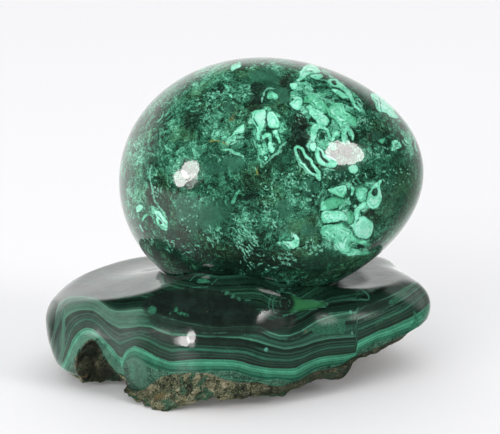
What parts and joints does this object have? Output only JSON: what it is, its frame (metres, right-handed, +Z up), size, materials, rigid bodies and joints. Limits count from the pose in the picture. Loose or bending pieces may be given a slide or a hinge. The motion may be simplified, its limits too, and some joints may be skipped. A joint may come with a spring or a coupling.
{
  "type": "malachite egg on a malachite stand",
  "caption": "Polished malachite egg lying in the hollow of a banded malachite stand, whose underside is left as rough, broken matrix.",
  "frame": {"origin": "on the ground under the middle of the box round the whole piece", "axes": "+X along the egg to its thinner end, -Y to the stand's banded front face, +Z up"},
  "size_m": [0.1141, 0.0818, 0.0938],
  "materials": {
    "mottled_malachite": "polished",
    "banded_malachite": "polished"
  },
  "bodies": {
    "root": {"egg": "mottled_malachite", "stand": "banded_malachite"}
  },
  "joints": []
}
